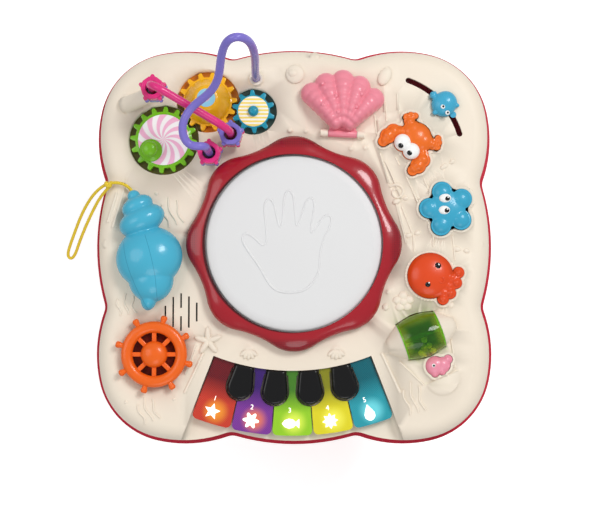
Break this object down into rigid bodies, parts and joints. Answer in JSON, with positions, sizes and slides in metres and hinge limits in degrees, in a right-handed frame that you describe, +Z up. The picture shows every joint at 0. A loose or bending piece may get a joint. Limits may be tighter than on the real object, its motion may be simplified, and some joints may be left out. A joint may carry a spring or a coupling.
{
  "type": "musical activity table",
  "caption": "Low round-cornered activity table for a baby, with a press drum, a curved keyboard, animal buttons, gears, bead rods, a roller, a shell lid and a loose shell on a cord.",
  "frame": {"origin": "on the floor, under the centre of the table's outline", "axes": "+Z up, +Y from the keyboard at the front towards the bead rods at the back, +X to the right"},
  "size_m": [0.4225, 0.39, 0.4179],
  "materials": {
    "cream_plastic": "moulded cream plastic with a soft sheen",
    "crimson_plastic": "moulded crimson plastic",
    "crimson_clear": "tinted see-through crimson plastic with a fine pattern under it",
    "ivory_head": "smooth white-grey plastic",
    "dark_plastic": "dark inner plastic",
    "foot_rubber": "soft grey-black pad",
    "board_green": "circuit board",
    "speaker_black": "paper cone in a black frame",
    "contact_rubber": "grey silicone dome",
    "battery_shell": "plain battery shell",
    "screw_steel": "zinc plated steel",
    "pink_gloss": "glossy pink plastic",
    "purple_gloss": "glossy purple plastic",
    "gear_dish": "dark printed film in the gear recesses",
    "wheel_base": "dark red-brown plastic",
    "mirror_film": "safe mirror film",
    "key_red": "see-through red plastic over a lit pattern",
    "key_purple": "see-through purple plastic over a lit pattern",
    "key_lime": "see-through lime plastic over a lit pattern",
    "key_yellow": "see-through yellow plastic over a lit pattern",
    "key_teal": "see-through teal plastic over a lit pattern",
    "black_gloss": "glossy black plastic",
    "crab_orange": "glossy orange plastic",
    "eye_white": "glossy white plastic with printed pupils",
    "star_blue": "glossy sky blue plastic with printed eyes",
    "octopus_orange": "glossy orange-red plastic with printed eyes and mouth",
    "fish_pink": "glossy pink plastic",
    "gear_green": "glossy green plastic with a printed disc",
    "gear_amber": "see-through amber plastic",
    "gear_teal": "glossy teal plastic with a printed disc",
    "wheel_orange": "glossy orange plastic",
    "roller_green": "see-through green plastic",
    "rattle_yellow": "glossy yellow balls",
    "slider_blue": "glossy blue plastic",
    "lid_pink": "glossy pink plastic",
    "conch_blue": "glossy sky blue plastic",
    "strap_yellow": "thin round yellow cord",
    "switch_grey": "grey plastic"
  },
  "bodies": {
    "root": {"base_casing": "crimson_plastic", "deck_casing": "cream_plastic", "drum_ring": "crimson_clear", "drum_bracket": "dark_plastic", "leg_front_left": "cream_plastic", "leg_front_right": "cream_plastic", "leg_back_left": "cream_plastic", "leg_back_right": "cream_plastic", "foot_pads": "foot_rubber", "key_rail": "dark_plastic", "circuit_boards": "board_green", "speaker": "speaker_black", "contact_domes": "contact_rubber", "batteries": "battery_shell", "battery_door": "dark_plastic", "casing_screws": "screw_steel", "pink_rod": "pink_gloss", "purple_rod": "purple_gloss", "gear_dishes": "gear_dish", "gear_axles": "cream_plastic", "wheel_dish": "wheel_base", "roller_axle": "screw_steel", "slider_channel": "dark_plastic", "shell_hinge_pin": "screw_steel", "shell_mirror": "mirror_film"},
    "drum": {"drum_head": "ivory_head"},
    "key_1": {"key_1": "key_red"},
    "key_2": {"key_2": "key_purple"},
    "key_3": {"key_3": "key_lime"},
    "key_4": {"key_4": "key_yellow"},
    "key_5": {"key_5": "key_teal"},
    "black_key_1": {"black_key_1": "black_gloss"},
    "black_key_2": {"black_key_2": "black_gloss"},
    "black_key_3": {"black_key_3": "black_gloss"},
    "black_key_4": {"black_key_4": "black_gloss"},
    "crab": {"crab_button": "crab_orange", "crab_eyes": "eye_white"},
    "star": {"star_button": "star_blue"},
    "octopus": {"octopus_button": "octopus_orange"},
    "fish": {"fish_button": "fish_pink"},
    "green_gear": {"green_gear": "gear_green", "green_knob": "gear_green"},
    "yellow_gear": {"yellow_gear": "gear_amber", "yellow_dome": "gear_amber"},
    "blue_gear": {"blue_gear": "gear_teal"},
    "ship_wheel": {"ship_wheel": "wheel_orange"},
    "roller": {"roller_barrel": "roller_green", "rattle_beads": "rattle_yellow"},
    "slider": {"slider_fish": "slider_blue"},
    "shell_lid": {"shell_lid": "lid_pink"},
    "conch": {"conch": "conch_blue", "strap": "strap_yellow"},
    "bead_1": {"bead_1_pink": "pink_gloss", "bead_1_purple": "purple_gloss"},
    "bead_2": {"bead_2_pink": "pink_gloss", "bead_2_purple": "purple_gloss"},
    "bead_3": {"bead_3_pink": "pink_gloss", "bead_3_purple": "purple_gloss"},
    "power_switch": {"power_switch": "switch_grey"}
  },
  "joints": [
    {"name": "drum_press", "type": "slide", "parent": "root", "child": "drum", "axis": [0, 0, -1], "range_m": [0, 0.0025], "stiffness_N_per_m": 4000, "springref_m": -0.002},
    {"name": "key_1_press", "type": "hinge", "parent": "root", "child": "key_1", "pos_m": [-0.05588, -0.09247, 0.2595], "axis": [0.9563, -0.2924, 0], "range_deg": [0, 1.6], "stiffness_Nm_per_rad": 0.5, "springref_deg": -2.86},
    {"name": "key_2_press", "type": "hinge", "parent": "root", "child": "key_2", "pos_m": [-0.02899, -0.09856, 0.2595], "axis": [0.989, -0.1478, 0], "range_deg": [0, 1.6], "stiffness_Nm_per_rad": 0.5, "springref_deg": -2.86},
    {"name": "key_3_press", "type": "hinge", "parent": "root", "child": "key_3", "pos_m": [-0.0015, -0.1006, 0.2595], "axis": [1, 0, 0], "range_deg": [0, 1.6], "stiffness_Nm_per_rad": 0.5, "springref_deg": -2.86},
    {"name": "key_4_press", "type": "hinge", "parent": "root", "child": "key_4", "pos_m": [0.02599, -0.09856, 0.2595], "axis": [0.989, 0.1478, 0], "range_deg": [0, 1.6], "stiffness_Nm_per_rad": 0.5, "springref_deg": -2.86},
    {"name": "key_5_press", "type": "hinge", "parent": "root", "child": "key_5", "pos_m": [0.05288, -0.09247, 0.2595], "axis": [0.9563, 0.2924, 0], "range_deg": [0, 1.6], "stiffness_Nm_per_rad": 0.5, "springref_deg": -2.86},
    {"name": "black_key_1_press", "type": "hinge", "parent": "root", "child": "black_key_1", "pos_m": [-0.04255, -0.09601, 0.2595], "axis": [0.9753, -0.2207, 0], "range_deg": [0, 1.6], "stiffness_Nm_per_rad": 0.4, "springref_deg": -2.86},
    {"name": "black_key_2_press", "type": "hinge", "parent": "root", "child": "black_key_2", "pos_m": [-0.01528, -0.10009, 0.2595], "axis": [0.9973, -0.0741, 0], "range_deg": [0, 1.6], "stiffness_Nm_per_rad": 0.4, "springref_deg": -2.86},
    {"name": "black_key_3_press", "type": "hinge", "parent": "root", "child": "black_key_3", "pos_m": [0.01228, -0.10009, 0.2595], "axis": [0.9973, 0.0741, 0], "range_deg": [0, 1.6], "stiffness_Nm_per_rad": 0.4, "springref_deg": -2.86},
    {"name": "black_key_4_press", "type": "hinge", "parent": "root", "child": "black_key_4", "pos_m": [0.03955, -0.09601, 0.2595], "axis": [0.9753, 0.2207, 0], "range_deg": [0, 1.6], "stiffness_Nm_per_rad": 0.4, "springref_deg": -2.86},
    {"name": "crab_press", "type": "slide", "parent": "root", "child": "crab", "axis": [0, 0, -1], "range_m": [0, 0.0018], "stiffness_N_per_m": 400, "springref_m": -0.001},
    {"name": "star_press", "type": "slide", "parent": "root", "child": "star", "axis": [0, 0, -1], "range_m": [0, 0.0018], "stiffness_N_per_m": 400, "springref_m": -0.001},
    {"name": "octopus_press", "type": "slide", "parent": "root", "child": "octopus", "axis": [0, 0, -1], "range_m": [0, 0.0018], "stiffness_N_per_m": 400, "springref_m": -0.001},
    {"name": "fish_press", "type": "slide", "parent": "root", "child": "fish", "axis": [0, 0, -1], "range_m": [0, 0.0018], "stiffness_N_per_m": 400, "springref_m": -0.001},
    {"name": "green_spin", "type": "hinge", "parent": "root", "child": "green_gear", "pos_m": [-0.1264, 0.1011, 0.262], "axis": [0, 0, 1], "continuous": true},
    {"name": "yellow_spin", "type": "hinge", "parent": "root", "child": "yellow_gear", "pos_m": [-0.0838, 0.13852, 0.262], "axis": [0, 0, 1], "continuous": true},
    {"name": "blue_spin", "type": "hinge", "parent": "root", "child": "blue_gear", "pos_m": [-0.03947, 0.12894, 0.262], "axis": [0, 0, 1], "continuous": true},
    {"name": "wheel_spin", "type": "hinge", "parent": "root", "child": "ship_wheel", "pos_m": [-0.1334, -0.106, 0.272], "axis": [0, 0, 1], "continuous": true},
    {"name": "roller_spin", "type": "hinge", "parent": "root", "child": "roller", "pos_m": [0.1218, -0.0882, 0.268], "axis": [0.9385, 0.3453, 0], "continuous": true},
    {"name": "slider_swing", "type": "hinge", "parent": "root", "child": "slider", "pos_m": [0.0846, 0.0846, 0.267], "axis": [0, 0, 1], "range_deg": [-23.4, 30.2]},
    {"name": "lid_hinge", "type": "hinge", "parent": "root", "child": "shell_lid", "pos_m": [0.0468, 0.1062, 0.2712], "axis": [0.999, -0.0454, 0], "range_deg": [0, 100]},
    {"name": "conch_lift", "type": "slide", "parent": "root", "child": "conch", "axis": [0, 0, 1], "range_m": [0, 0.05]},
    {"name": "bead_1_slide", "type": "slide", "parent": "root", "child": "bead_1", "axis": [0, 0, 1], "range_m": [0, 0.01]},
    {"name": "bead_2_slide", "type": "slide", "parent": "root", "child": "bead_2", "axis": [0, 0, 1], "range_m": [0, 0.018]},
    {"name": "bead_3_slide", "type": "slide", "parent": "root", "child": "bead_3", "axis": [0, 0, 1], "range_m": [0, 0.026]},
    {"name": "switch_slide", "type": "slide", "parent": "root", "child": "power_switch", "axis": [1, 0, 0], "range_m": [0, 0.007]}
  ],
  "couplings": [
    {"joint": "yellow_spin", "follows": "green_spin", "ratio": -1.1429},
    {"joint": "blue_spin", "follows": "green_spin", "ratio": 1.6}
  ]
}
